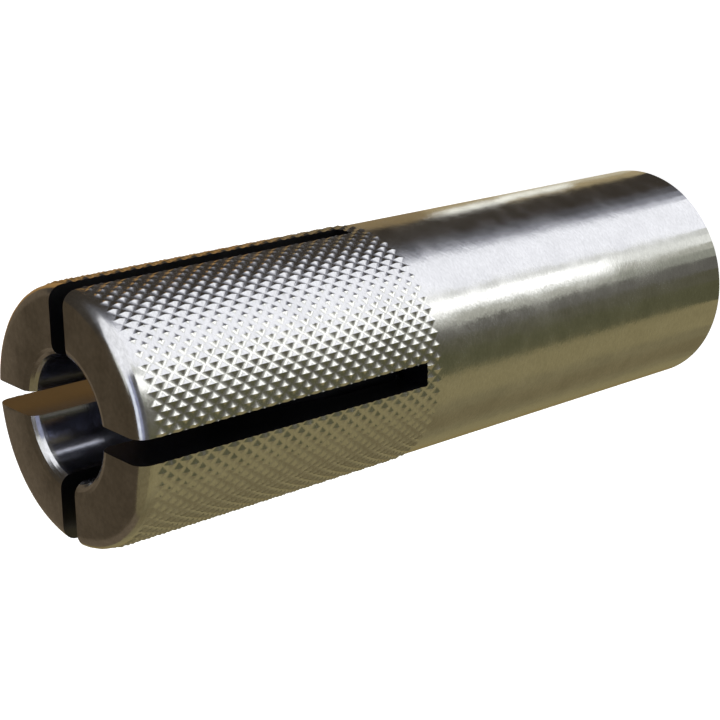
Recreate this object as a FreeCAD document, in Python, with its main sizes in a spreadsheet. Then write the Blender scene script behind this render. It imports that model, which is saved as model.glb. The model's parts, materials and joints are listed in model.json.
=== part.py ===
import FreeCAD, Part
import math
import os
import Sketcher
from FreeCAD import Vector

# Drop-in expansion anchor: a knurled steel sleeve and the plug that spreads it
#
# The sleeve is turned from round bar. One half is smooth and holds the
# internal thread. The other half is knurled and sawn into four legs. The bore
# narrows towards the legs, so a plug that is driven down it from the threaded
# end spreads them. The sleeve stands on its threaded end, with its axis along
# +Z, the middle of that end at the origin, and the legs pointing up.

SIZES = [
    # Body
    ("body_diameter", 20.0, "smooth outer body, the size of the drilled hole"),
    ("sleeve_length", 65.0, "whole sleeve"),
    ("rim_radius", 1.15, "rounding of the outer edge at the leg tips"),
    ("mouth_chamfer", 0.8, "at the bore's edge at the leg tips"),
    # Slots
    ("leg_count", 4, "legs, with as many slots between them"),
    ("slot_width", 1.94, "saw cut"),
    ("slot_length", 27.3, "from the leg tips"),
    # Knurl
    ("knurl_margin", 0.05, "plain body between the rounded rim and the first row"),
    ("knurl_rows", 20, "rows of points, with as many again between them"),
    ("knurl_pitch", 1.395, "from one row to the next, along the body"),
    ("knurl_count", 64, "points in each row, round the body"),
    ("knurl_height", 0.14, "points above the smooth body"),
    ("knurl_depth", 0.02, "valleys below the smooth body"),
    ("knurl_turn", 1.2, "degrees from the +X slot to the first point"),
    # Bore
    ("tip_bore_diameter", 9.5, "straight bore at the leg tips"),
    ("tip_bore_length", 9.0, "from the leg tips to the cone"),
    ("cone_length", 12.0, "narrowing bore that the plug spreads"),
    ("chamber_length", 14.0, "straight bore round the plug"),
    ("thread_minor_diameter", 13.835, "M16 x 2 internal thread, at its crests"),
    ("thread_chamfer", 1.3, "at the threaded end"),
    ("chamber_relief", 0.25, "chamber wall outside the thread's crests"),
    # Plug
    ("plug_clearance", 0.17, "plug inside the thread's crests"),
    ("plug_body_length", 8.0, "straight part"),
    ("plug_taper_length", 10.0, "part that fits the cone"),
    ("seat_gap", 0.02, "plug's taper inside the sleeve's cone"),
    # Cutting
    ("overshoot", 1.0, "cuts run on past the skin and the leg tips"),
]

doc = FreeCAD.newDocument("expansion_anchor")
sheet = doc.addObject("Spreadsheet::Sheet", "Sizes")
for row, (alias, value, meaning) in enumerate(SIZES, start=1):
    sheet.set(f"A{row}", alias)
    sheet.set(f"B{row}", str(value))
    sheet.set(f"C{row}", meaning)
    sheet.setAlias(f"B{row}", alias)
doc.recompute()


# Lengths that several features share, as expressions of the sheet

BODY_RADIUS = "Sizes.body_diameter / 2"
PAST_SKIN = f"{BODY_RADIUS} + Sizes.overshoot"
PAST_TIPS = "Sizes.sleeve_length + Sizes.overshoot"
KNURL_TOP = "Sizes.sleeve_length - Sizes.rim_radius - Sizes.knurl_margin"
KNURL_BASE = f"{KNURL_TOP} - Sizes.knurl_rows * Sizes.knurl_pitch"
TIP_RADIUS = "Sizes.tip_bore_diameter / 2"
THREAD_RADIUS = "Sizes.thread_minor_diameter / 2"
CHAMBER_RADIUS = "(Sizes.thread_minor_diameter / 2 + Sizes.chamber_relief)"
CONE_TOP = "(Sizes.sleeve_length - Sizes.tip_bore_length)"
CONE_BASE = f"({CONE_TOP} - Sizes.cone_length)"
CHAMBER_BASE = f"({CONE_BASE} - Sizes.chamber_length)"
CONE_SLOPE = f"(({CHAMBER_RADIUS} - {TIP_RADIUS}) / Sizes.cone_length)"
PLUG_RADIUS = "(Sizes.thread_minor_diameter / 2 - Sizes.plug_clearance)"
# The plug's shoulder lies where the cone has narrowed to the plug and its gap
SHOULDER = f"({CONE_BASE} + ({CHAMBER_RADIUS} - {PLUG_RADIUS} - Sizes.seat_gap) / {CONE_SLOPE})"
PLUG_BASE = f"{SHOULDER} - Sizes.plug_body_length"
PLUG_TOP = f"{SHOULDER} + Sizes.plug_taper_length"
NOSE_RADIUS = f"{PLUG_RADIUS} - Sizes.plug_taper_length * {CONE_SLOPE}"


def origin_plane(body, role):
    return next(f for f in body.Origin.OriginFeatures if f.Role == role)


def outline_sketch(body, name, plane, points):
    """A closed outline of straight lines. Each corner is a pair of the sheet's expressions, across and up."""
    sketch = body.newObject("Sketcher::SketchObject", name)
    sketch.AttachmentSupport = [(origin_plane(body, plane), "")]
    sketch.MapMode = "FlatFace"
    corners = [Vector(sheet_value(across), sheet_value(up), 0) for across, up in points]
    count = len(corners)
    for i in range(count):
        sketch.addGeometry(Part.LineSegment(corners[i], corners[(i + 1) % count]), False)
    for i in range(count):
        sketch.addConstraint(Sketcher.Constraint("Coincident", i, 2, (i + 1) % count, 1))
    for i, (across, up) in enumerate(points):
        for kind, expression, value in (("DistanceX", across, corners[i].x), ("DistanceY", up, corners[i].y)):
            index = sketch.addConstraint(Sketcher.Constraint(kind, -1, 1, i, 1, value))
            sketch.setExpression(f"Constraints[{index}]", expression)
    return sketch


def sheet_value(expression):
    """What an expression of the sheet comes to, as a plain number."""
    return float(sheet.evalExpression(expression))


def circles_at(shape, radius, height):
    """Names of the circular edges with this radius and height."""
    names = []
    for number, edge in enumerate(shape.Edges, start=1):
        curve = edge.Curve
        if isinstance(curve, Part.Circle) and math.dist((curve.Radius, curve.Center.z), (radius, height)) < 1e-4:
            names.append(f"Edge{number}")
    return names


def ease_tip_edge(body, feature, name, radius):
    """A Fillet or Chamfer on the body's circular edge of this radius at the leg tips."""
    doc.recompute()
    last = body.Tip
    eased = body.newObject(feature, name)
    eased.Base = (last, circles_at(last.Shape, sheet_value(radius), sheet.sleeve_length))
    return eased


def revolve(body, name, sketch):
    """Turn an outline round the body's own Z axis."""
    turned = body.newObject("PartDesign::Revolution", name)
    turned.Profile = sketch
    turned.ReferenceAxis = (sketch, ["V_Axis"])
    turned.Angle = 360
    return turned


def knurl_band():
    """Solid bar with the knurled skin, in its place on the body.

    The skin is worked out on a grid of half steps, i round the body and j along
    it. Where i + j is even lies the corner of a valley, and where it is odd the
    peak of a four-sided point between four such corners.
    """
    valley_radius = sheet.body_diameter / 2 - sheet.knurl_depth
    peak_radius = sheet.body_diameter / 2 + sheet.knurl_height
    steps_round = 2 * int(sheet.knurl_count)
    steps_along = 2 * int(sheet.knurl_rows)
    base = sheet_value(KNURL_BASE)
    places = {}
    points = []
    facets = []

    def corner(i, j):
        i = i % steps_round
        if (i, j) not in places:
            radius = peak_radius if (i + j) % 2 else valley_radius
            angle = math.radians(sheet.knurl_turn) + 2 * math.pi * i / steps_round
            height = base + j * sheet.knurl_pitch / 2
            places[i, j] = len(points)
            points.append(Vector(radius * math.cos(angle), radius * math.sin(angle), height))
        return places[i, j]

    def end_middle(j):
        points.append(Vector(0, 0, base + j * sheet.knurl_pitch / 2))
        return len(points) - 1

    for j in range(1, steps_along):
        for i in range(1 - j % 2, steps_round, 2):
            left, right = corner(i - 1, j), corner(i + 1, j)
            below, above = corner(i, j - 1), corner(i, j + 1)
            for first, second in ((left, below), (below, right), (right, above), (above, left)):
                facets.append((corner(i, j), first, second))
    # The half steps left over at each end, and the flat ends of the bar
    bottom, top = end_middle(0), end_middle(steps_along)
    for i in range(0, steps_round, 2):
        facets.append((corner(i, 0), corner(i + 2, 0), corner(i + 1, 1)))
        facets.append((corner(i, steps_along), corner(i + 1, steps_along - 1), corner(i + 2, steps_along)))
        facets.append((bottom, corner(i + 2, 0), corner(i, 0)))
        facets.append((top, corner(i, steps_along), corner(i + 2, steps_along)))
    skin = Part.Shape()
    skin.makeShapeFromMesh((points, facets), 0.001)
    return Part.makeSolid(skin)


# Knurled bar: plain bar, the knurled band on top of it, and the rim with its rounded edge

plain_bar = doc.addObject("Part::Cylinder", "PlainBar")
plain_bar.setExpression("Radius", BODY_RADIUS)
plain_bar.setExpression("Height", KNURL_BASE)

knurl = doc.addObject("Part::Feature", "KnurledBand")
knurl.Shape = knurl_band()

rim = doc.addObject("PartDesign::Body", "Rim")
revolve(rim, "TurnedRim", outline_sketch(rim, "RimProfile", "XZ_Plane", [
    ("0", KNURL_TOP),
    (BODY_RADIUS, KNURL_TOP),
    (BODY_RADIUS, "Sizes.sleeve_length"),
    ("0", "Sizes.sleeve_length"),
]))
rounded_rim = ease_tip_edge(rim, "PartDesign::Fillet", "RoundedRim", BODY_RADIUS)
rounded_rim.setExpression("Radius", "Sizes.rim_radius")

knurled_bar = doc.addObject("Part::MultiFuse", "KnurledBar")
knurled_bar.Shapes = [plain_bar, knurl, rim]
knurled_bar.Refine = False


# Hollow: all that is bored and sawn out of the bar, made as a solid of its own

hollow = doc.addObject("PartDesign::Body", "Hollow")
bore_profile = outline_sketch(hollow, "BoreProfile", "XZ_Plane", [
    ("0", "0"),
    (f"{THREAD_RADIUS} + Sizes.thread_chamfer", "0"),
    (THREAD_RADIUS, "Sizes.thread_chamfer"),
    (THREAD_RADIUS, CHAMBER_BASE),
    (CHAMBER_RADIUS, CHAMBER_BASE),
    (CHAMBER_RADIUS, CONE_BASE),
    (TIP_RADIUS, CONE_TOP),
    (TIP_RADIUS, "Sizes.sleeve_length"),
    (PAST_SKIN, "Sizes.sleeve_length"),
    (PAST_SKIN, PAST_TIPS),
    ("0", PAST_TIPS),
])
revolve(hollow, "Bore", bore_profile)
# The bore meets the space past the leg tips in a corner, and this is the chamfer on the bore's edge
mouth = ease_tip_edge(hollow, "PartDesign::Chamfer", "Mouth", TIP_RADIUS)
mouth.setExpression("Size", "Sizes.mouth_chamfer")

# One slot from the axis out towards +X, then as many as there are legs
slot_profile = outline_sketch(hollow, "SlotProfile", "YZ_Plane", [
    ("-Sizes.slot_width / 2", "Sizes.sleeve_length - Sizes.slot_length"),
    ("Sizes.slot_width / 2", "Sizes.sleeve_length - Sizes.slot_length"),
    ("Sizes.slot_width / 2", PAST_TIPS),
    ("-Sizes.slot_width / 2", PAST_TIPS),
])
slot = hollow.newObject("PartDesign::Pad", "Slot")
slot.Profile = slot_profile
slot.setExpression("Length", PAST_SKIN)

slots = hollow.newObject("PartDesign::PolarPattern", "Slots")
slots.Originals = [slot]
slots.Axis = (slot_profile, ["V_Axis"])
slots.Angle = 360
slots.setExpression("Occurrences", "Sizes.leg_count")
hollow.Tip = slots


# Sleeve: the knurled bar without the hollow

sleeve = doc.addObject("Part::Cut", "Sleeve")
sleeve.Label = "sleeve"
sleeve.Base = knurled_bar
sleeve.Tool = hollow
sleeve.Refine = False


# Expander plug: turned, with a straight body and a taper that lies in the sleeve's cone

plug = doc.addObject("PartDesign::Body", "Plug")
plug.Label = "expander_plug"
revolve(plug, "TurnedPlug", outline_sketch(plug, "PlugProfile", "XZ_Plane", [
    ("0", PLUG_BASE),
    (PLUG_RADIUS, PLUG_BASE),
    (PLUG_RADIUS, SHOULDER),
    (NOSE_RADIUS, PLUG_TOP),
    ("0", PLUG_TOP),
]))
doc.recompute()


# Every object must have come out whole before anything is written

for item in doc.Objects:
    if "Invalid" in item.State or "Error" in item.State:
        raise RuntimeError(f"{item.Name} failed: {item.State}")

os.makedirs("parts", exist_ok=True)
for piece in (sleeve, plug):
    shape = piece.Shape
    if shape.isNull() or not shape.isValid() or len(shape.Solids) != 1:
        raise RuntimeError(f"{piece.Label} isn't one sound solid")
    shape.exportStep(f"parts/{piece.Label}.step")
    print(f"{piece.Label}: {shape.Volume:.1f} mm3, {len(shape.Faces)} faces")
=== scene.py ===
# %% [markdown]
# # A drop-in expansion anchor
#
# The object is one steel sleeve, 20 mm across and 65 mm long, with a small tapered plug inside. The
# frame holds both at their real size and place. Here the sleeve gets the skin that the frame keeps
# simple: the flat lands between the knurl's points, the rounded mouth and the M16 thread. Everything is
# in metres, with the sleeve standing on its threaded end and +Z along its axis.

# %% Load the frame
import json
import math

import bpy
import bmesh
from mathutils import Matrix, Vector


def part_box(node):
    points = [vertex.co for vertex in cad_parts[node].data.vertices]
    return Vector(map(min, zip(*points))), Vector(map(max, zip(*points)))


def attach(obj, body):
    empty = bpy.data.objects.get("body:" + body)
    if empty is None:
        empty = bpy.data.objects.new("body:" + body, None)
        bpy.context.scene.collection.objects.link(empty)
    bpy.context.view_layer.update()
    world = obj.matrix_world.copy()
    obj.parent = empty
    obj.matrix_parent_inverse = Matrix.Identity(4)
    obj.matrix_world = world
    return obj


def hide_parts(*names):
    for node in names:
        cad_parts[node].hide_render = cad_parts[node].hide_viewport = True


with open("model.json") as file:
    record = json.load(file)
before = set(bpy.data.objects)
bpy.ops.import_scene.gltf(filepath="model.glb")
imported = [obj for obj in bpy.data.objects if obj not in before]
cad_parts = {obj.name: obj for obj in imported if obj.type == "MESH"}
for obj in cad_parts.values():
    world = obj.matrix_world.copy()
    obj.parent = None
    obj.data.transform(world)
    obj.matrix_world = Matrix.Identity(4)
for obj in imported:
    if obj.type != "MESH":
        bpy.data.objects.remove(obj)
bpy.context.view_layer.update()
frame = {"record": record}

MM = 0.001

# %% [markdown]
# ## Sizes
#
# The real one is turned from 20 mm bar, knurled, bored and then sawn, and the sizes are those of that
# work. The length and the radii of the body and the thread's bore come from the frame. The rest are
# named once here.

# %% Sizes of the sleeve
mounts = {mount["name"]: mount for mount in frame["record"]["mounts"]}
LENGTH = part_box("sleeve")[1][2]
BODY_R = mounts["anchor_body"]["dims"]["r_mm"] * MM
THREAD_MINOR_R = mounts["bolt_thread"]["dims"]["r_mm"] * MM
THREAD_MAJOR_R = 8.05 * MM
THREAD_PITCH = 2.0 * MM

RIM_R = 1.15 * MM
MOUTH_R = 1.0 * MM
TIP_BORE_R = 4.75 * MM
TIP_BORE_LENGTH = 9.0 * MM
CONE_LENGTH = 12.0 * MM
CHAMBER_LENGTH = 14.0 * MM
CHAMBER_R = THREAD_MINOR_R + 0.25 * MM
THREAD_CHAMFER = 1.3 * MM
FOOT_EDGE = 0.12 * MM

KNURL_ROWS = 20
KNURL_COUNT = 64
KNURL_PITCH = 1.395 * MM
KNURL_HEIGHT = 0.17 * MM
KNURL_HALF_LAND = 0.06 * MM
KNURL_MARGIN = 0.05 * MM
KNURL_TURN = math.radians(1.2)
KNURL_TOP = LENGTH - RIM_R - KNURL_MARGIN
KNURL_BASE = KNURL_TOP - KNURL_ROWS * KNURL_PITCH

SLOT_WIDTH = 1.94 * MM
SLOT_LENGTH = 27.3 * MM
SLOT_END = LENGTH - SLOT_LENGTH
CUT_PAST = 1.0 * MM

CONE_TOP = LENGTH - TIP_BORE_LENGTH
CONE_BASE = CONE_TOP - CONE_LENGTH
CHAMBER_BASE = CONE_BASE - CHAMBER_LENGTH
print("knurl from", round(KNURL_BASE / MM, 2), "to", round(KNURL_TOP / MM, 2), "mm up the sleeve")

# %% [markdown]
# ## Selecting, and turning on a lathe
#
# Every operator works on what is selected, so each piece starts from a clean selection. A turned piece
# is drawn as a half section and spun round Z, as on a lathe. Its first and last copies lie on each other
# and are merged. Two distances are used throughout: points that lie closer than the weld are made one,
# and places that lie closer than the near distance count as the same.

# %% Start a mesh and spin a section
WELD = 0.001 * MM
NEAR = 0.01 * MM


def select_only(active, *others):
    """Select these objects and nothing else, with the first as the active one."""
    bpy.ops.object.select_all(action="DESELECT")
    for piece in (active, *others):
        piece.select_set(True)
    bpy.context.view_layer.objects.active = active


def edit_all():
    """Go into edit mode on the active object, with its whole mesh selected."""
    bpy.ops.object.mode_set(mode="EDIT")
    bpy.ops.mesh.select_all(action="SELECT")


def start_mesh(name, points, edges):
    """A new mesh object with these points and edges, selected and in edit mode."""
    mesh = bpy.data.meshes.new(name)
    mesh.from_pydata(points, edges, [])
    piece = bpy.data.objects.new(name, mesh)
    bpy.context.scene.collection.objects.link(piece)
    select_only(piece)
    edit_all()
    return piece


def spin(name, section, steps, turn=0.0):
    """Turn a section, a list of (radius, height), all the way round Z."""
    points = [(r * math.cos(turn), r * math.sin(turn), z) for r, z in section]
    piece = start_mesh(name, points, [(i, i + 1) for i in range(len(points) - 1)])
    bpy.ops.mesh.spin(steps=steps, angle=math.tau, center=(0, 0, 0), axis=(0, 0, 1))
    bpy.ops.mesh.select_all(action="SELECT")
    bpy.ops.mesh.remove_doubles(threshold=WELD)
    bpy.ops.object.mode_set(mode="OBJECT")
    return piece

# %% [markdown]
# ## The knurl
#
# A knurling tool rolls two sets of crossing ridges into the bar. What is left between them is a lattice
# of four-sided points with narrow lands of the plain bar between. It could be a bump texture, but the
# points break the outline and catch the light one by one, so they are modelled. A plain band of 20 rows
# of 64 faces is poked, which puts a point in the middle of each face. When the band's first edges are
# dissolved, diamonds are left, half a step apart from row to row.

# %% Band of diamonds
def diamond_band():
    """A plain ring of diamonds, with triangles at both ends, in edit mode."""
    heights = [KNURL_BASE + row * KNURL_PITCH for row in range(KNURL_ROWS + 1)]
    band = spin("knurl", [(BODY_R, z) for z in heights], KNURL_COUNT, turn=KNURL_TURN)
    first_corners = len(band.data.vertices)
    edit_all()
    bpy.ops.mesh.poke(offset=0.0)
    bpy.ops.mesh.select_all(action="DESELECT")
    shape = bmesh.from_edit_mesh(band.data)
    shape.verts.index_update()
    for edge in shape.edges:
        inner = all(KNURL_BASE + NEAR < vert.co.z < KNURL_TOP - NEAR for vert in edge.verts)
        level = abs(edge.verts[0].co.z - edge.verts[1].co.z) < NEAR
        first = all(vert.index < first_corners for vert in edge.verts)
        edge.select_set(first and (inner or not level))
    bmesh.update_edit_mesh(band.data)
    bpy.ops.mesh.dissolve_edges(use_verts=False)
    return band


band = diamond_band()
print("knurl diamonds:", sum(len(face.verts) == 4 for face in bmesh.from_edit_mesh(band.data).faces))

# %% [markdown]
# Each diamond is inset by half a land and poked again, this time outwards. The triangles at both ends
# stay plain. The end rings get a corner between each two, so that they meet those of the plain bar.

# %% Points on the diamonds
def set_radius(verts, radius):
    """Move corners straight in or out to this distance from the axis."""
    for vert in verts:
        vert.co.xy = vert.co.xy.normalized() * radius


def raise_points(band):
    """Give each diamond of the band, which is in edit mode, its lands and its point."""
    bpy.ops.mesh.select_mode(type="FACE")
    for face in bmesh.from_edit_mesh(band.data).faces:
        face.select_set(len(face.verts) == 4)
    bmesh.update_edit_mesh(band.data)
    bpy.ops.mesh.inset(thickness=KNURL_HALF_LAND, use_individual=True, use_even_offset=True)
    shape = bmesh.from_edit_mesh(band.data)
    set_radius(shape.verts, BODY_R)
    corners = len(shape.verts)
    bmesh.update_edit_mesh(band.data)
    bpy.ops.mesh.poke(offset=0.0)
    shape = bmesh.from_edit_mesh(band.data)
    shape.verts.ensure_lookup_table()
    set_radius(shape.verts[corners:], BODY_R + KNURL_HEIGHT)
    bmesh.update_edit_mesh(band.data)


def split_end_rings(band):
    """Put a corner in the middle of each edge of the two open ends, and leave edit mode."""
    bpy.ops.mesh.select_mode(type="EDGE")
    bpy.ops.mesh.select_all(action="DESELECT")
    for edge in bmesh.from_edit_mesh(band.data).edges:
        edge.select_set(edge.is_boundary)
    bmesh.update_edit_mesh(band.data)
    bpy.ops.mesh.subdivide(number_cuts=1)
    shape = bmesh.from_edit_mesh(band.data)
    set_radius([vert for vert in shape.verts if vert.is_boundary], BODY_R)
    bmesh.update_edit_mesh(band.data)
    bpy.ops.mesh.select_mode(type="VERT")
    bpy.ops.object.mode_set(mode="OBJECT")


raise_points(band)
split_end_rings(band)
print("knurl faces:", len(band.data.polygons))

# %% [markdown]
# ## The rest of the sleeve
#
# Everything but the knurl is one turned section: down the plain bar to the foot, up through the thread
# bore, the chamber, the cone and the tip bore, over the rounded mouth, across the face and round the rim
# back to the knurl. It is spun in 128 steps so that it meets the knurl corner for corner, and the two
# are joined into one closed skin.

# %% Section of the turned body
def arc(centre_r, centre_z, radius, start, end, steps):
    """Points of an arc in the section, with its angles in degrees from the radius direction."""
    angles = [math.radians(start + (end - start) * i / steps) for i in range(steps + 1)]
    return [(centre_r + radius * math.cos(a), centre_z + radius * math.sin(a)) for a in angles]


body_section = [
    (BODY_R, KNURL_BASE),
    (BODY_R, FOOT_EDGE),
    (BODY_R - FOOT_EDGE, 0.0),
    (THREAD_MINOR_R + THREAD_CHAMFER, 0.0),
    (THREAD_MINOR_R, THREAD_CHAMFER),
    (THREAD_MINOR_R, CHAMBER_BASE),
    (CHAMBER_R, CHAMBER_BASE + (CHAMBER_R - THREAD_MINOR_R)),
    (CHAMBER_R, CONE_BASE),
    (TIP_BORE_R, CONE_TOP),
]
body_section += arc(TIP_BORE_R + MOUTH_R, LENGTH - MOUTH_R, MOUTH_R, start=180, end=90, steps=5)
body_section += arc(BODY_R - RIM_R, LENGTH - RIM_R, RIM_R, start=90, end=0, steps=6)
body_section.append((BODY_R, KNURL_TOP))
print("corners in the section:", len(body_section))

# %% Turned body joined to the knurl
sleeve = spin("anchor_sleeve", body_section, 2 * KNURL_COUNT, turn=KNURL_TURN)
select_only(sleeve, band)
bpy.ops.object.join()
edit_all()
bpy.ops.mesh.remove_doubles(threshold=2 * WELD)
bpy.ops.mesh.normals_make_consistent(inside=False)
open_edges = sum(edge.is_boundary for edge in bmesh.from_edit_mesh(sleeve.data).edges)
bpy.ops.object.mode_set(mode="OBJECT")
print("open edges left in the skin:", open_edges)

# %% [markdown]
# ## The saw cuts
#
# A slitting saw cuts the expanding end into four legs, with two passes at right angles. Each pass is a
# box taken out with an exact Boolean, which leaves flat sides and clean corners also where it runs
# through the knurl.

# %% Cut the slots
def cut(piece, cutter):
    """Take the cutter out of the piece and throw the cutter away."""
    select_only(piece)
    modifier = piece.modifiers.new("cut", "BOOLEAN")
    modifier.operation = "DIFFERENCE"
    modifier.solver = "EXACT"
    modifier.object = cutter
    bpy.ops.object.modifier_apply(modifier=modifier.name)
    bpy.data.objects.remove(cutter, do_unlink=True)


def saw_blade(name, width_x, width_y):
    """A box as wide as given, from the slot's end to past the tips."""
    high = LENGTH + CUT_PAST
    bpy.ops.object.select_all(action="DESELECT")
    bpy.ops.mesh.primitive_cube_add(size=1.0, location=(0.0, 0.0, (SLOT_END + high) / 2))
    blade = bpy.context.active_object
    blade.name = name
    blade.scale = (width_x, width_y, high - SLOT_END)
    bpy.ops.object.transform_apply(location=True, rotation=True, scale=True)
    return blade


PAST_SKIN = 2 * (BODY_R + CUT_PAST)
cut(sleeve, saw_blade("saw_along_x", PAST_SKIN, SLOT_WIDTH))
cut(sleeve, saw_blade("saw_along_y", SLOT_WIDTH, PAST_SKIN))
print("faces after the saw:", len(sleeve.data.polygons))

# %% [markdown]
# ## The thread
#
# The M16 thread is tapped: one coil with the 60 degree form of the tap's teeth is taken out of the bore.
# Its section reaches a little inside the bore, so that the cut is clean. A Screw modifier winds it up,
# from one pitch below the foot to the end of the thread, and its ends are capped, so that it is a solid
# cutter.

# %% Cut the thread
TAP_REACH = 0.3 * MM
TAP_ROOT_HALF = 0.82 * MM
TAP_CREST_HALF = 0.13 * MM
TAP_TURNS = 15


def tap_coil():
    """A closed coil as thick as the thread's groove."""
    root_r = THREAD_MINOR_R - TAP_REACH
    section = [
        (root_r, -TAP_ROOT_HALF),
        (THREAD_MAJOR_R, -TAP_CREST_HALF),
        (THREAD_MAJOR_R, TAP_CREST_HALF),
        (root_r, TAP_ROOT_HALF),
    ]
    points = [(r, 0.0, z - THREAD_PITCH) for r, z in section]
    coil = start_mesh("tap", points, [(0, 1), (1, 2), (2, 3), (3, 0)])
    bpy.ops.object.mode_set(mode="OBJECT")
    screw = coil.modifiers.new("screw", "SCREW")
    screw.angle = math.tau
    screw.steps = 40
    screw.screw_offset = THREAD_PITCH
    screw.iterations = TAP_TURNS
    screw.use_merge_vertices = False
    bpy.ops.object.modifier_apply(modifier=screw.name)
    bpy.ops.object.mode_set(mode="EDIT")
    bpy.ops.mesh.select_mode(type="EDGE")
    bpy.ops.mesh.select_all(action="DESELECT")
    bpy.ops.mesh.select_non_manifold(
        extend=False, use_wire=False, use_boundary=True,
        use_multi_face=False, use_non_contiguous=False, use_verts=False,
    )
    bpy.ops.mesh.edge_face_add()
    bpy.ops.mesh.select_mode(type="VERT")
    bpy.ops.mesh.select_all(action="SELECT")
    bpy.ops.mesh.normals_make_consistent(inside=False)
    bpy.ops.object.mode_set(mode="OBJECT")
    return coil


coil = tap_coil()
print("coil faces:", len(coil.data.polygons))
cut(sleeve, coil)
edit_all()
bpy.ops.mesh.remove_doubles(threshold=WELD)
bpy.ops.mesh.dissolve_degenerate(threshold=WELD)
bpy.ops.object.mode_set(mode="OBJECT")
print("faces after the tap:", len(sleeve.data.polygons))

# %% [markdown]
# Rolling leaves the knurl's lands and points blended, so the skin is shaded smooth over all but clear
# corners. A bore's steps are cut sharp, so inside a smaller angle already counts as a corner.

# %% Blended outside, sharp inside
OUTSIDE_CORNER = math.radians(30)
CUT_CORNER = math.radians(9)
INSIDE_R = BODY_R - RIM_R - 0.1 * MM
bpy.ops.object.shade_smooth_by_angle(angle=OUTSIDE_CORNER)
shape = bmesh.new()
shape.from_mesh(sleeve.data)
for edge in shape.edges:
    inside = all(vert.co.xy.length < INSIDE_R for vert in edge.verts)
    if inside and edge.calc_face_angle(0.0) > CUT_CORNER:
        edge.smooth = False
shape.to_mesh(sleeve.data)
shape.free()
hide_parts("sleeve")
print("sleeve triangles:", sum(len(face.vertices) - 2 for face in sleeve.data.polygons))

# %% [markdown]
# ## The plug inside
#
# The plug waits in the bore, and a setting tool drives it into the cone to spread the legs. It is a
# turned slug of hardened steel: a straight body, a long taper and small broken edges. Its place and its
# width come from the frame.

# %% Expander plug
plug_low, plug_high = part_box("expander_plug")
PLUG_R = plug_high.x
PLUG_BODY = 8.0 * MM
NOSE_R = 4.73 * MM
PLUG_EDGE = 0.25 * MM
TAPER_START_R = PLUG_R - 0.04 * MM
TAPER_END_R = NOSE_R + 0.03 * MM
plug_section = [
    (0.0, plug_low.z),
    (PLUG_R - PLUG_EDGE, plug_low.z),
    (PLUG_R, plug_low.z + PLUG_EDGE),
    (PLUG_R, plug_low.z + PLUG_BODY - PLUG_EDGE),
    (TAPER_START_R, plug_low.z + PLUG_BODY),
    (TAPER_END_R, plug_high.z - PLUG_EDGE),
    (NOSE_R - PLUG_EDGE, plug_high.z),
    (0.0, plug_high.z),
]
plug = spin("plug", plug_section, steps=96)
edit_all()
bpy.ops.mesh.normals_make_consistent(inside=False)
bpy.ops.object.mode_set(mode="OBJECT")
bpy.ops.object.shade_smooth_by_angle(angle=CUT_CORNER)
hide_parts("expander_plug")
print("plug faces:", len(plug.data.polygons))

# %% [markdown]
# ## Materials
#
# Both pieces are metal, so almost all of their look is in what they mirror and how sharply. The sleeve is
# zinc plated: a slightly cloudy mirror whose gloss changes in blotches, with the fine marks of turning
# round it. Its face and rim are turned last and are smoother. Plating hardly gets into a bore, so that
# is bluer. The saw cuts, the thread and the space round the plug are painted dark grey, as painted shade
# in these recesses. The plug is hardened and phosphated black. All five are the same steel with other
# numbers.

# %% Material helpers
def srgb(code):
    """Linear colour of a hex code."""
    channels = [int(code[i:i + 2], 16) / 255 for i in (1, 3, 5)]
    linear = [c / 12.92 if c <= 0.04045 else ((c + 0.055) / 1.055) ** 2.4 for c in channels]
    return (*linear, 1.0)


def new_material(name):
    """An empty node material with its Principled shader, and its node tree."""
    material = bpy.data.materials.new(name)
    material.use_nodes = True
    return material, material.node_tree, material.node_tree.nodes["Principled BSDF"]


def set_inputs(tree, node, inputs):
    """Link each of these inputs that is given a socket, and set the others."""
    for key, value in inputs.items():
        if isinstance(value, bpy.types.NodeSocket):
            tree.links.new(value, node.inputs[key])
        else:
            node.inputs[key].default_value = value


def add(tree, kind, inputs=None, **settings):
    """Add a node with these properties and inputs."""
    node = tree.nodes.new(kind)
    for key, value in settings.items():
        setattr(node, key, value)
    set_inputs(tree, node, inputs or {})
    return node


# %% [markdown]
# Two noises make the steel, both from the object's own coordinates. Slow clouds, 2.5 mm wide, change its
# gloss and tone and tilt it in shallow waves. A fine grain, 0.4 mm wide, is squeezed along the axis, so
# that it runs round it as tool marks do. Bumps smaller than a pixel would only blur the reflections, as
# more roughness does, so neither noise has small parts. Most of a noise lies between 0.3 and 0.7, and of
# two added up between 0.7 and 1.3, and these ranges are spread over the gloss and the tone.

# %% Steel
PER_MM = 1 / MM
CLOUD_SCALE = 0.4 * PER_MM
GRAIN_SCALE = 2.4 * PER_MM
GRAIN_SQUEEZE = (1.0, 1.0, 2.2)
FEW_SMALL_PARTS = {"Detail": 1.5, "Roughness": 0.6}
# A Mix node has a set of sockets for each kind of value, and these are its two colours and their mix
MIX_FIRST, MIX_SECOND, MIX_RESULT = 6, 7, 2


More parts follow.
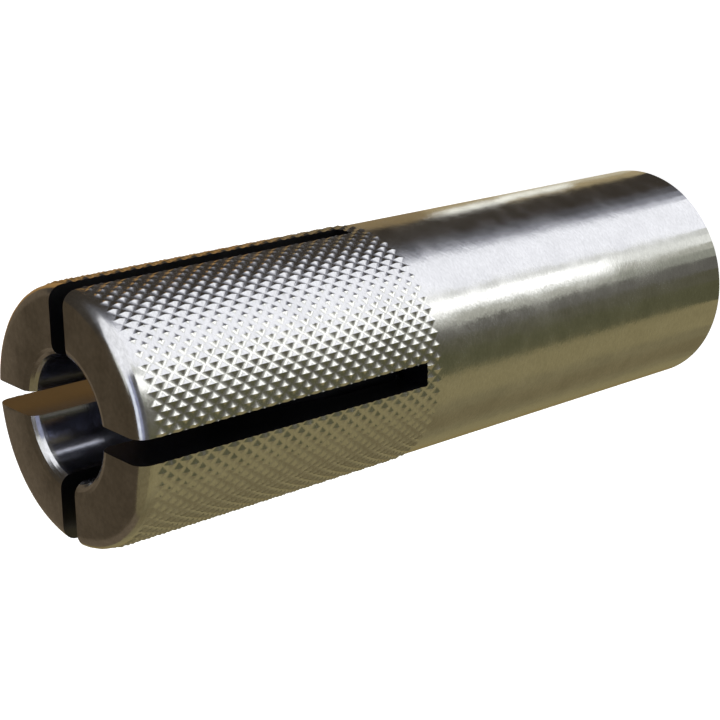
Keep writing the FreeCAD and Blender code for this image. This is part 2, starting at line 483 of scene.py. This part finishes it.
def steel(name, dull, bright, low_gloss, high_gloss, grain_depth, wave_depth):
    """Steel that is cloudy in colour, gloss and level, with the fine marks of turning round the axis."""
    material, tree, shader = new_material(name)
    place = add(tree, "ShaderNodeTexCoord").outputs["Object"]
    clouds = add(tree, "ShaderNodeTexNoise", {"Vector": place, "Scale": CLOUD_SCALE, **FEW_SMALL_PARTS})
    level = clouds.outputs["Fac"]
    gloss = add(tree, "ShaderNodeMapRange", {
        "Value": level,
        "From Min": 0.3,
        "From Max": 0.7,
        "To Min": low_gloss,
        "To Max": high_gloss,
    })
    marks = add(tree, "ShaderNodeMapping", {"Vector": place, "Scale": GRAIN_SQUEEZE})
    grain = add(tree, "ShaderNodeTexNoise", {
        "Vector": marks.outputs["Vector"],
        "Scale": GRAIN_SCALE,
        **FEW_SMALL_PARTS,
    })
    both = add(tree, "ShaderNodeMath", {0: level, 1: grain.outputs["Fac"]}, operation="ADD")
    share = add(tree, "ShaderNodeMapRange", {"Value": both.outputs[0], "From Min": 0.7, "From Max": 1.3})
    tone = add(tree, "ShaderNodeMix", {
        "Factor": share.outputs["Result"],
        MIX_FIRST: srgb(dull),
        MIX_SECOND: srgb(bright),
    }, data_type="RGBA")
    waves = add(tree, "ShaderNodeBump", {"Height": level, "Strength": 1.0, "Distance": wave_depth * MM})
    bump = add(tree, "ShaderNodeBump", {
        "Height": grain.outputs["Fac"],
        "Strength": 1.0,
        "Distance": grain_depth * MM,
        "Normal": waves.outputs["Normal"],
    })
    set_inputs(tree, shader, {
        "Base Color": tone.outputs[MIX_RESULT],
        "Metallic": 1.0,
        "Roughness": gloss.outputs["Result"],
        "Normal": bump.outputs["Normal"],
    })
    return material


# Name, dull and bright tone, least and most roughness, and depth of the grain and the waves in mm
FINISHES = [
    # Zinc over drawn and rolled bar: bands of reflection with soft, slightly wavy edges and a fine grain
    ("zinc_plated_steel", "#dadada", "#ebebeb", 0.14, 0.26, 0.009, 0.04),
    # Zinc over a freshly turned face and rim: a little darker, with a clean highlight round the rim
    ("turned_plated_steel", "#d0d0cf", "#e8e8e7", 0.14, 0.24, 0.003, 0.02),
    # Bored and hardly plated: bluish, and the sharpest mirror of all
    ("bored_steel", "#d8dae6", "#e4e6f2", 0.12, 0.17, 0.005, 0.01),
    # Slots, thread and the plug's space: painted shade in these recesses, dark grey with an even, dull
    # shine
    ("steel_with_painted_recess_shade", "#646469", "#6b6b70", 0.28, 0.32, 0.001, 0.001),
    # Hardened and phosphated: matt and nearly black
    ("phosphated_steel", "#3c3d41", "#46474c", 0.48, 0.56, 0.01, 0.01),
]
zinc, turned, bored, recess_shade_steel, phosphated = [steel(*row) for row in FINISHES]
print("finishes:", len(FINISHES))

# %% Which face has which finish
ZINC, BORED, PAINTED_RECESS_SHADE, TURNED = range(4)
SQUARE_ON = 0.99
BORE_REACH = CHAMBER_R + 1.2 * MM


def is_sawn(face):
    """Whether a face is a side or the end of a slot."""
    x, y, z = face.center
    side_x = abs(abs(x) - SLOT_WIDTH / 2) < NEAR and abs(face.normal.x) > SQUARE_ON
    side_y = abs(abs(y) - SLOT_WIDTH / 2) < NEAR and abs(face.normal.y) > SQUARE_ON
    end = abs(z - SLOT_END) < NEAR and face.normal.z > SQUARE_ON
    return z > SLOT_END - NEAR and (side_x or side_y or end)


def finish_of(face):
    """Which finish a face of the sleeve has. The thread and the plug's space get the same painted shade
    as the cuts.
    """
    x, y, z = face.center
    # Slot sides and ends, and the inside below the tip bore, get the dark finish that is painted shade
    if is_sawn(face):
        return PAINTED_RECESS_SHADE
    if math.hypot(x, y) < BORE_REACH and THREAD_CHAMFER < z < LENGTH - MOUTH_R:
        return PAINTED_RECESS_SHADE if z < CONE_TOP else BORED
    return TURNED if z > LENGTH - RIM_R else ZINC


sleeve.data.materials.clear()
for material in (zinc, bored, recess_shade_steel, turned):
    sleeve.data.materials.append(material)
for face in sleeve.data.polygons:
    face.material_index = finish_of(face)
plug.data.materials.clear()
plug.data.materials.append(phosphated)
# This counts the faces with the painted shade finish
print("oily faces:", sum(face.material_index == PAINTED_RECESS_SHADE for face in sleeve.data.polygons))

# %% [markdown]
# ## Where the pieces belong
#
# Nothing moves against anything else, so both pieces ride on the one body of the frame.

# %% Ride on the root
for piece, slot_name in ((sleeve, "plated_steel"), (plug, "plug_steel")):
    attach(piece, "root")
    print(piece.name, "rides on root in slot", slot_name)

# %% [markdown]
# ## The studio
#
# The floor is plain and pale. Cameras, mirrors and glass see it white, and only its own diffuse light
# carries the sleeve's shadow. The world is white to them too, and dimmer as a light.

# %% Floor and world
WHITE = (1.0, 1.0, 1.0, 1.0)
FLOOR_GLOW = 0.72
WORLD_LIGHT = 0.35


def seen_white(tree):
    """1 where a ray comes from the camera, a mirror or glass, else 0."""
    rays = add(tree, "ShaderNodeLightPath").outputs
    either = {0: rays["Is Camera Ray"], 1: rays["Is Glossy Ray"]}
    mirror = add(tree, "ShaderNodeMath", either, operation="MAXIMUM")
    either = {0: mirror.outputs[0], 1: rays["Is Transmission Ray"]}
    return add(tree, "ShaderNodeMath", either, operation="MAXIMUM").outputs[0]


bpy.ops.object.select_all(action="DESELECT")
bpy.ops.mesh.primitive_plane_add(size=4.0, location=(0.0, 0.0, 0.0))
floor = bpy.context.active_object
floor.name = "floor"
paper, tree, shader = new_material("white_paper")
glow = add(tree, "ShaderNodeMath", {0: seen_white(tree), 1: FLOOR_GLOW}, operation="MULTIPLY")
set_inputs(tree, shader, {
    "Base Color": srgb("#d8d8d8"),
    "Roughness": 0.9,
    "Specular IOR Level": 0.0,
    "Emission Color": WHITE,
    "Emission Strength": glow.outputs[0],
})
floor.data.materials.append(paper)

world = bpy.data.worlds.new("studio")
bpy.context.scene.world = world
world.use_nodes = True
tree = world.node_tree
level = add(tree, "ShaderNodeMapRange", {"Value": seen_white(tree), "To Min": WORLD_LIGHT, "To Max": 1.0})
set_inputs(tree, tree.nodes["Background"], {"Color": WHITE, "Strength": level.outputs["Result"]})
print("floor in m:", [round(side, 2) for side in floor.dimensions])

# %% [markdown]
# ## The cards
#
# Bright metal shows nothing but its surroundings, so a photographer of tools hangs cards round it: white
# for the long highlight, charcoal beside it for contrast, olive and tan for warmth. No card is seen by
# the camera, throws a shadow or lights the floor.

# %% Card colours
CARD_GLOW = 1.33
SUNNY_GLOW = 1.7
CARD_COLOURS = {
    "white": "#ebecf1",
    "warm_white": "#fffffc",
    "pearl": "#d9dad4",
    "mist": "#c3c4bf",
    "silver": "#b5b6be",
    "slate": "#74757c",
    "iron": "#4a494b",
    "charcoal": "#342f29",
    "stone": "#a3a398",
    "ash": "#85867b",
    "pewter": "#5a5852",
    "lichen": "#4f4d3e",
    "moss": "#4c4b36",
    "khaki": "#7a7151",
    "drab": "#6e664b",
    "olive": "#675e44",
    "tan": "#958767",
    "sand": "#776a45",
    "flax": "#b0a891",
    "cream": "#e8e7dc",
    "fawn": "#7a6a4d",
    "bronze": "#917044",
    "loam": "#594e40",
    "umber": "#40372b",
    "haze": "#82869f",
    "sky": "#dfe5f4",
}


def card_material(name):
    """A card that glows in its colour, a little stronger to make up for what the metal takes away."""
    strength = SUNNY_GLOW if name == "warm_white" else CARD_GLOW
    material = bpy.data.materials.new("card_" + name)
    material.use_nodes = True
    tree = material.node_tree
    tree.nodes.clear()
    light = add(tree, "ShaderNodeEmission", {"Color": srgb(CARD_COLOURS[name]), "Strength": strength})
    add(tree, "ShaderNodeOutputMaterial", {"Surface": light.outputs[0]})
    return material


card_materials = {name: card_material(name) for name in CARD_COLOURS}
print("card colours:", len(card_materials))


def finish_card(card, name):
    """Leave edit mode, colour the card and hide it from everything but mirror reflections."""
    bpy.ops.object.mode_set(mode="OBJECT")
    card.data.materials.append(card_materials[name])
    card.visible_camera = False
    card.visible_shadow = False
    card.visible_diffuse = False
    return card


# %% [markdown]
# The cards below the horizon lie as a fan on the floor. Each is bounded by two lines that leave the
# bar's skin in the direction in which the mirrored rays of the camera do, so it shows as one straight
# band along the whole bar. Their directions are measured from the camera's.

# %% Fan of cards on the floor
CAMERA_TURN = math.radians(21.6)
CARD_HEIGHT = 0.02 * MM
FAN_STEP = 4
FOOT = 13
FAR = 600
# From and to which direction in degrees, from and to which distance in mm, and the colour
FAN = [
    (-180, -150, 0, FAR, "sand"),
    (-150, -130, 0, FAR, "khaki"),
    (-130, -118, 0, FAR, "drab"),
    (-118, -96, 0, FAR, "olive"),
    (-96, -82, 0, FAR, "drab"),
    (-82, -52, 0, FAR, "khaki"),
    (-52, -30, 0, FAR, "moss"),
    (-30, -17, 0, FAR, "lichen"),
    (-17, -4, 0, FAR, "pewter"),
    (-4, 5, 0, FOOT, "ash"),
    (-4, 5, FOOT, 90, "stone"),
    (-4, 5, 90, FAR, "ash"),
    (5, 12, 0, FOOT, "stone"),
    (12, 21, 0, FOOT, "pearl"),
    (5, 9, FOOT, FAR, "pearl"),
    (9, 21, FOOT, FAR, "warm_white"),
    (21, 28, 0, FAR, "mist"),
    (28, 67, 0, FAR, "white"),
    (67, 73, 0, FAR, "silver"),
    (73, 81, 0, FAR, "slate"),
    (81, 91, 0, FAR, "iron"),
    (91, 128, 0, FAR, "charcoal"),
    (128, 146, 0, 9, "tan"),
    (146, 180, 0, 9, "flax"),
    (128, 134, 9, 19, "tan"),
    (134, 150, 9, 19, "cream"),
    (150, 164, 9, 19, "flax"),
    (164, 180, 9, 19, "tan"),
    (128, 143, 19, 30, "cream"),
    (143, 180, 19, 30, "tan"),
    (128, 180, 30, 60, "fawn"),
    (128, 180, 60, FAR, "bronze"),
]


def floor_card(start, end, near, far, name):
    """Part of the fan between two directions and two distances."""
    steps = max(2, round((end - start) / FAN_STEP))
    points = []
    for i in range(steps + 1):
        heading = math.radians(start + (end - start) * i / steps)
        leave = CAMERA_TURN + heading / 2
        away = CAMERA_TURN + heading
        for distance in (near * MM, far * MM):
            x = BODY_R * math.cos(leave) + distance * math.cos(away)
            y = BODY_R * math.sin(leave) + distance * math.sin(away)
            points.append((x, y, CARD_HEIGHT))
    edges = [(2 * i, 2 * i + 1) for i in range(steps + 1)]
    card = start_mesh("card_" + name, points, edges)
    bpy.ops.mesh.bridge_edge_loops()
    return finish_card(card, name)


cards = [floor_card(*row) for row in FAN]
print("cards on the floor:", len(cards))

# %% [markdown]
# The other cards hang in the open, as patches of a ball round the sleeve. What the face and the rim
# mirror comes from them. A patch is an upright arc, spun about Z.

# %% Panels round the sleeve
BALL_CENTRE = 30 * MM
RISE_STEP = 6
TURN_STEP = 8
# From and to which direction, from and to which height, all in degrees, and the colour
PANELS = [
    (-180, -100, -3, 27, "loam"),
    (-180, -100, 27, 60, "umber"),
    (-100, -40, -3, 60, "olive"),
    (-40, 22, -3, 24, "iron"),
    (-40, 22, 24, 42, "haze"),
    (-40, 22, 42, 60, "sky"),
    (22, 76, -3, 62, "white"),
    (22, 76, 62, 74, "mist"),
    (76, 92, -3, 60, "iron"),
    (92, 140, -3, 60, "charcoal"),
    (140, 180, -3, 27, "loam"),
    (140, 180, 27, 60, "umber"),
    (-180, 22, 60, 90, "umber"),
    (22, 76, 74, 90, "umber"),
    (76, 180, 60, 90, "umber"),
]


def panel(start, end, low, high, name):
    """Patch of a ball round the sleeve, as far out as the fan reaches."""
    radius = FAR * MM
    rises = max(2, round((high - low) / RISE_STEP))
    turns = max(3, round((end - start) / TURN_STEP))
    first = CAMERA_TURN + math.radians(start)
    points = []
    for i in range(rises + 1):
        rise = math.radians(low + (high - low) * i / rises)
        x = radius * math.cos(rise) * math.cos(first)
        y = radius * math.cos(rise) * math.sin(first)
        points.append((x, y, BALL_CENTRE + radius * math.sin(rise)))
    card = start_mesh("panel_" + name, points, [(i, i + 1) for i in range(rises)])
    # The Spin operator turns clockwise about its axis, so the axis points down
    sweep = math.radians(end - start)
    bpy.ops.mesh.spin(steps=turns, angle=sweep, center=(0, 0, 0), axis=(0, 0, -1))
    return finish_card(card, name)


cards += [panel(*row) for row in PANELS]
print("cards in all:", len(cards))

# %% [markdown]
# ## Lamp and camera
#
# One broad, soft lamp overhead gives the floor its light and the sleeve its shadow. The camera stands
# where the photograph's did and is rolled with it, so that the standing sleeve lies across the picture.
# Its place and its directions were fitted to the outline in the photograph.

# %% Lamp
bpy.ops.object.light_add(type="AREA", location=(0.1, -0.15, 0.7))
lamp = bpy.context.active_object
lamp.name = "overhead_softbox"
lamp.data.shape = "DISK"
lamp.data.size = 0.6
lamp.data.energy = 4.0
lamp.visible_glossy = False
print("lamp:", lamp.name, lamp.data.energy, "W")

# %% Camera
CAMERA_PLACE = (100.022 * MM, 39.766 * MM, 123.080 * MM)
CAMERA_RIGHT = (0.6581, -0.0083, -0.7529)
CAMERA_BACK = (0.7206, 0.2968, 0.6266)
camera_data = bpy.data.cameras.new("camera")
camera_data.sensor_width = 36.0
camera_data.lens = 82.03
camera = bpy.data.objects.new("camera", camera_data)
bpy.context.scene.collection.objects.link(camera)
right = Vector(CAMERA_RIGHT).normalized()
back = Vector(CAMERA_BACK).normalized()
up = back.cross(right).normalized()
right = up.cross(back)
turned_to = Matrix((right, up, back)).transposed().to_4x4()
camera.matrix_world = Matrix.Translation(CAMERA_PLACE) @ turned_to
bpy.context.scene.camera = camera
bpy.context.scene.view_settings.view_transform = "Standard"
print("camera to the foot in mm:", round(Vector(CAMERA_PLACE).length / MM, 1))
